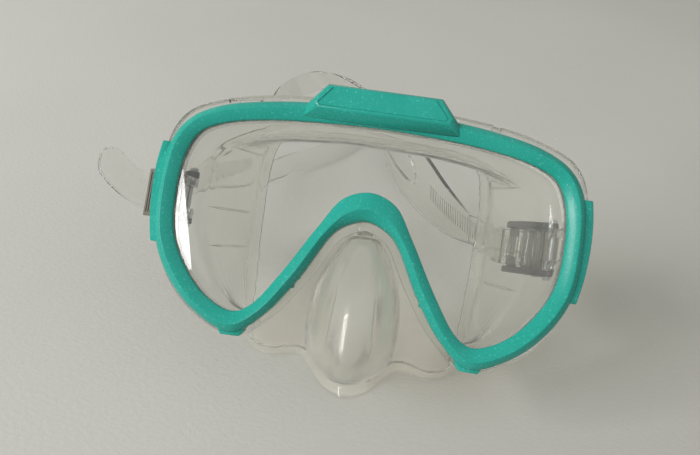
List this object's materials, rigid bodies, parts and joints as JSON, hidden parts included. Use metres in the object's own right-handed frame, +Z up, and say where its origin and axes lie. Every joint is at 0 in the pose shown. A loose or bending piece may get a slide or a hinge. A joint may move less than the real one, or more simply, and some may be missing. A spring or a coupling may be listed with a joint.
{
  "type": "snorkel mask",
  "caption": "Single-lens dive and snorkel mask with a clear silicone skirt, a nose pocket, a clip-on rim, swivel buckles and a split head strap.",
  "frame": {"origin": "bottom centre of the whole part's bounding box, on the table that the mask rests on", "axes": "+Z up from the table, +X to the viewer's right as seen from the lens side (the wearer's left), +Y from the lens towards the strap; the lens leans back 46 degrees"},
  "size_m": [0.2058, 0.2174, 0.1096],
  "materials": {
    "lens_glass": "polished flat tempered glass",
    "teal_plastic": "gloss moulded plastic",
    "clear_frame": "clear polycarbonate",
    "clear_silicone": "clear satin silicone",
    "black_plastic": "fine satin moulded plastic",
    "grey_plastic": "satin moulded plastic",
    "pin_steel": "turned stainless pin"
  },
  "bodies": {
    "root": {"lens": "lens_glass", "bezel": "teal_plastic", "brow_clip": "teal_plastic", "frame": "clear_frame", "skirt": "clear_silicone", "hinge_pin_left": "pin_steel", "hinge_pin_right": "pin_steel", "strap_yoke": "clear_silicone", "strap_arm_left": "clear_silicone", "strap_arm_right": "clear_silicone"},
    "buckle_left": {"buckle_body_left": "black_plastic", "roller_pin_left": "pin_steel", "lever_pin_left": "pin_steel"},
    "wrap_roller_left": {"roller_left": "black_plastic"},
    "press_lever_left": {"lever_left": "grey_plastic"},
    "buckle_right": {"buckle_body_right": "black_plastic", "roller_pin_right": "pin_steel", "lever_pin_right": "pin_steel"},
    "wrap_roller_right": {"roller_right": "black_plastic"},
    "press_lever_right": {"lever_right": "grey_plastic"}
  },
  "joints": [
    {"name": "swivel_left", "type": "hinge", "parent": "root", "child": "buckle_left", "pos_m": [-0.05255, -0.04725, 0.05679], "axis": [0, 0.7193, 0.6947], "range_deg": [-95, 10], "deforming": ["strap_arm_left"]},
    {"name": "roller_spin_left", "type": "hinge", "parent": "buckle_left", "child": "wrap_roller_left", "pos_m": [-0.06115, -0.04301, 0.05239], "axis": [0, 0.7193, 0.6947], "continuous": true},
    {"name": "lever_press_left", "type": "hinge", "parent": "buckle_left", "child": "press_lever_left", "pos_m": [-0.06002, -0.04859, 0.05818], "axis": [0, 0.7193, 0.6947], "range_deg": [0, 12]},
    {"name": "swivel_right", "type": "hinge", "parent": "root", "child": "buckle_right", "pos_m": [0.09545, -0.04725, 0.05679], "axis": [0, 0.7193, 0.6947], "range_deg": [-105, 0], "deforming": ["strap_arm_right"]},
    {"name": "roller_spin_right", "type": "hinge", "parent": "buckle_right", "child": "wrap_roller_right", "pos_m": [0.0886, -0.04168, 0.05102], "axis": [0, 0.7193, 0.6947], "continuous": true},
    {"name": "lever_press_right", "type": "hinge", "parent": "buckle_right", "child": "press_lever_right", "pos_m": [0.09671, -0.04197, 0.05132], "axis": [0, -0.7193, -0.6947], "range_deg": [0, 12]}
  ]
}
